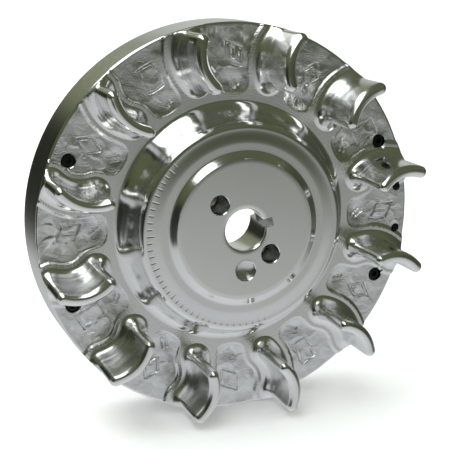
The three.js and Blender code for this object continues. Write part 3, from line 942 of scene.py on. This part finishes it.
def make_shoe(node, sign, back, front):
    """A pole shoe of stacked steel sheets, seen as fine lines across its outer face."""
    start, end = sorted((sign * SHOE_NEAR, sign * (SHOE_FAR - math.degrees(INSERT_GAP / SHOE_INNER))))
    pitch = (front - back) / SHEETS
    profile = [(SHOE_INNER, back)]
    for i in range(SHEETS):
        z = back + i * pitch
        if i:
            profile += [(SHOE_OUTER - SHEET_GROOVE, z), (SHOE_OUTER, z + SHEET_GROOVE_HALF)]
        else:
            profile.append((SHOE_OUTER, z))
        profile.append((SHOE_OUTER, z + pitch - (SHEET_GROOVE_HALF if i < SHEETS - 1 else 0)))
    profile.append((SHOE_INNER, front))
    steps = 24
    count = len(profile)
    points = [polar(r, start + (end - start) * i / steps, z) for i in range(steps + 1) for r, z in profile]
    faces = [tuple(range(count)), tuple(steps * count + k for k in reversed(range(count)))]
    for i in range(steps):
        a, b = i * count, (i + 1) * count
        faces += [(a + k, b + k, b + (k + 1) % count, a + (k + 1) % count) for k in range(count)]
    obj = solid(node + "_stack", points, faces, [SHOE], SHOE_EDGE)
    cut(obj, [prism(PIN_R + 0.05, back - 1, front + 1, polar(PIN_PITCH, sign * PIN_ANGLE), 32)], SHOE_EDGE)
    piece(obj, node)


def make_inserts():
    front, back = FACE - 4.7, RIM_BACK + 3.3
    recess = sector(77.7, RIM_R + 3, -SHOE_FAR, SHOE_FAR, back - 1, front + 1)
    insert("carrier_block", "magnet_carrier", 0, (CARRIER_INNER, CARRIER_OUTER), (back, front), [recess])
    insert("weight_block", "counterweight", 180, (WEIGHT_INNER, WEIGHT_OUTER), (RIM_BACK + 0.02, front), [])
    for label, sign in (("upper", 1), ("lower", -1)):
        make_shoe(f"pole_shoe_{label}", sign, back, front)
        make_pin(f"shoe_pin_{label}", sign)
        socket_screw(f"magnet_screw_{label}", sign * FIXING_ANGLE)
        socket_screw(f"weight_screw_{label}", 180 - sign * FIXING_ANGLE)
        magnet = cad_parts[f"magnet_{label}"]
        magnet.data.materials.clear()
        magnet.data.materials.append(NICKEL)


# ---------- stage, light and camera ----------
def make_stage():
    """A pale round sweep, in metres: a flat floor that curves up into a wall all round."""
    floor = CAD_LOW[2]
    flat, wall, rise, top = 0.5, 1.35, 0.9, 2.2
    outline = [(0.02, floor), (0.25, floor), (flat, floor)]
    bend_steps = 18
    for i in range(1, bend_steps + 1):
        a = math.radians(90 * i / bend_steps)
        outline.append((flat + (wall - flat) * math.sin(a), floor + rise * (1 - math.cos(a))))
    outline.append((wall, floor + top))
    steps = 96
    points = [(r * math.cos(math.tau * j / steps), r * math.sin(math.tau * j / steps), z)
              for r, z in outline for j in range(steps)]
    faces = [tuple(range(steps))]
    for i in range(len(outline) - 1):
        a, b = i * steps, (i + 1) * steps
        faces += [(a + j, b + j, b + (j + 1) % steps, a + (j + 1) % steps) for j in range(steps)]
    mesh = bpy.data.meshes.new("sweep")
    mesh.from_pydata(points, [], faces)
    mesh.polygons.foreach_set("use_smooth", [True] * len(mesh.polygons))
    pale = Nodes("pale_sweep", (0.93, 0.93, 0.92), 0.0, 0.7)
    mottle = pale.noise(pale.position(), 0.01, 2.0)
    pale.out(Base_Color=pale.mix(mottle, (0.94, 0.94, 0.93), (0.91, 0.91, 0.90)))
    mesh.materials.append(pale.material)
    sweep = linked("sweep", mesh)
    sweep.visible_glossy = False
    sweep.visible_shadow = False


# Radiance of the surroundings by the sine of the elevation: a lit table below, a dim olive room above.
SURROUNDINGS = [(-1.0, (0.67, 0.69, 0.70)), (-0.7, (0.57, 0.585, 0.595)), (-0.42, (0.53, 0.545, 0.55)),
                (-0.29, (0.48, 0.49, 0.485)), (-0.17, (0.30, 0.305, 0.285)), (-0.05, (0.11, 0.117, 0.092)),
                (0.1, (0.062, 0.068, 0.040)), (0.45, (0.10, 0.112, 0.058)), (1.0, (0.085, 0.094, 0.066))]
TABLE_LEAN = 0.05       # the table reaches further to the left than to the right
CLUTTER_SCALE, CLUTTER = 2.6, 0.16      # how fine and how strong the unevenness of the surroundings is

# Patches of the room: direction, degrees of its core and of its edge, share at the core, and radiance.
PATCHES = [((-0.03, 0.90, 0.42), 0, 34, 0.85, (0.21, 0.225, 0.145)),        # a lit wall beyond the part
           ((0.38, 0.91, 0.16), 0, 21, 0.95, (0.58, 0.59, 0.56)),           # a bright patch far on the right
           ((0.97, -0.20, -0.04), 8, 42, 0.85, (0.05, 0.055, 0.036)),       # the dim right side
           ((-0.98, -0.15, -0.05), 12, 22, 0.9, (0.022, 0.024, 0.018)),     # dark patches on the left
           ((-0.77, -0.63, -0.07), 16, 22, 0.97, (0.016, 0.018, 0.014)),
           ((-0.39, 0.91, -0.06), 11, 22, 0.98, (0.018, 0.019, 0.014))]


class WorldNodes:
    """The world's node tree, with short calls for the nodes used here."""

    def __init__(self, world):
        world.use_nodes = True
        self.tree = world.node_tree
        self.direction = self.tree.nodes.new("ShaderNodeTexCoord").outputs["Generated"]

    def link(self, value, socket):
        if isinstance(value, bpy.types.NodeSocket):
            self.tree.links.new(value, socket)
        else:
            socket.default_value = value

    def math(self, operation, a, b):
        made = self.tree.nodes.new("ShaderNodeMath")
        made.operation = operation
        self.link(a, made.inputs[0])
        self.link(b, made.inputs[1])
        return made.outputs[0]

    def lobe(self, towards, core, width, amount):
        """A share round a direction: full out to core degrees, then falling to nothing at width."""
        dot = self.tree.nodes.new("ShaderNodeVectorMath")
        dot.operation = "DOT_PRODUCT"
        self.tree.links.new(self.direction, dot.inputs[0])
        dot.inputs[1].default_value = Vector(towards).normalized()
        near = self.tree.nodes.new("ShaderNodeMapRange")
        near.interpolation_type = "SMOOTHSTEP"
        self.tree.links.new(dot.outputs["Value"], near.inputs["Value"])
        near.inputs["From Min"].default_value = math.cos(math.radians(width))
        near.inputs["From Max"].default_value = math.cos(math.radians(core))
        near.inputs["To Max"].default_value = amount
        return near.outputs[0]

    def blend(self, share, color, towards):
        mix = self.tree.nodes.new("ShaderNodeMix")
        mix.data_type = "RGBA"
        self.tree.links.new(share, mix.inputs[0])
        self.tree.links.new(color, mix.inputs[6])
        mix.inputs[7].default_value = (*towards, 1)
        return mix.outputs[2]


def make_world():
    world = bpy.data.worlds.new("surroundings")
    w = WorldNodes(world)
    split = w.tree.nodes.new("ShaderNodeSeparateXYZ")
    w.tree.links.new(w.direction, split.inputs[0])
    clutter = w.tree.nodes.new("ShaderNodeTexNoise")
    clutter.inputs["Scale"].default_value = CLUTTER_SCALE
    w.tree.links.new(w.direction, clutter.inputs["Vector"])
    shift = w.math("MULTIPLY", w.math("SUBTRACT", clutter.outputs["Fac"], 0.5), CLUTTER)
    level = w.math("ADD", split.outputs["Z"], w.math("MULTIPLY", split.outputs["X"], TABLE_LEAN))
    level = w.math("MULTIPLY", w.math("ADD", w.math("ADD", level, shift), 1.0), 0.5)
    ramp = w.tree.nodes.new("ShaderNodeValToRGB")
    w.tree.links.new(level, ramp.inputs[0])
    stops = ramp.color_ramp.elements
    stops.remove(stops[-1])
    for index, (sine, color) in enumerate(SURROUNDINGS):
        stop = stops[0] if index == 0 else stops.new((sine + 1) / 2)
        stop.color = (*color, 1)
    color = ramp.outputs[0]
    for towards, core, edge, amount, radiance in PATCHES:
        color = w.blend(w.lobe(towards, core, edge, amount), color, radiance)
    w.tree.links.new(color, w.tree.nodes["Background"].inputs["Color"])
    bpy.context.scene.world = world


DAYLIGHT = (0.95, 0.98, 1.0)


def area(name, spot, size, radiance, in_reflections=True):
    """A rectangular light that faces straight down, by the brightness of its surface."""
    light = bpy.data.lights.new(name, "AREA")
    light.shape = "RECTANGLE"
    light.color = DAYLIGHT
    light.size, light.size_y = size
    light.energy = radiance * math.pi * size[0] * size[1]
    obj = linked(name, light)
    obj.location = spot
    obj.visible_glossy = in_reflections


def make_lights():
    area("softbox", (-0.45, 0.22, 1.0), (0.66, 3.45), 2.3)
    area("sky", (0, 0, 2.3), (2.4, 2.4), 1.3, in_reflections=False)
    bpy.context.scene.view_settings.view_transform = "Standard"


CAMERA_AZIMUTH, CAMERA_ELEVATION, CAMERA_DISTANCE = -20.74, 13.27, 0.5357
CAMERA_LENS = 95.8
AIM_RIGHT, AIM_UP = -0.0032, -0.0014


def make_camera():
    a, e = math.radians(CAMERA_AZIMUTH), math.radians(CAMERA_ELEVATION)
    back = Vector((math.sin(a) * math.cos(e), -math.cos(a) * math.cos(e), math.sin(e)))
    right = Vector((0, 0, 1)).cross(back).normalized()
    up = back.cross(right)
    centre = place((0, 0, FACE))
    data = bpy.data.cameras.new("camera")
    data.sensor_width = 36
    data.lens = CAMERA_LENS
    camera = linked("camera", data)
    camera.location = centre + back * CAMERA_DISTANCE
    aim = centre + right * AIM_RIGHT + up * AIM_UP
    camera.rotation_euler = (aim - camera.location).to_track_quat("-Z", "Y").to_euler()
    bpy.context.scene.camera = camera


make_camera()
make_world()
make_lights()
make_stage()
make_body()
for vane_number in range(1, VANES + 1):
    make_vane(vane_number)
make_inserts()
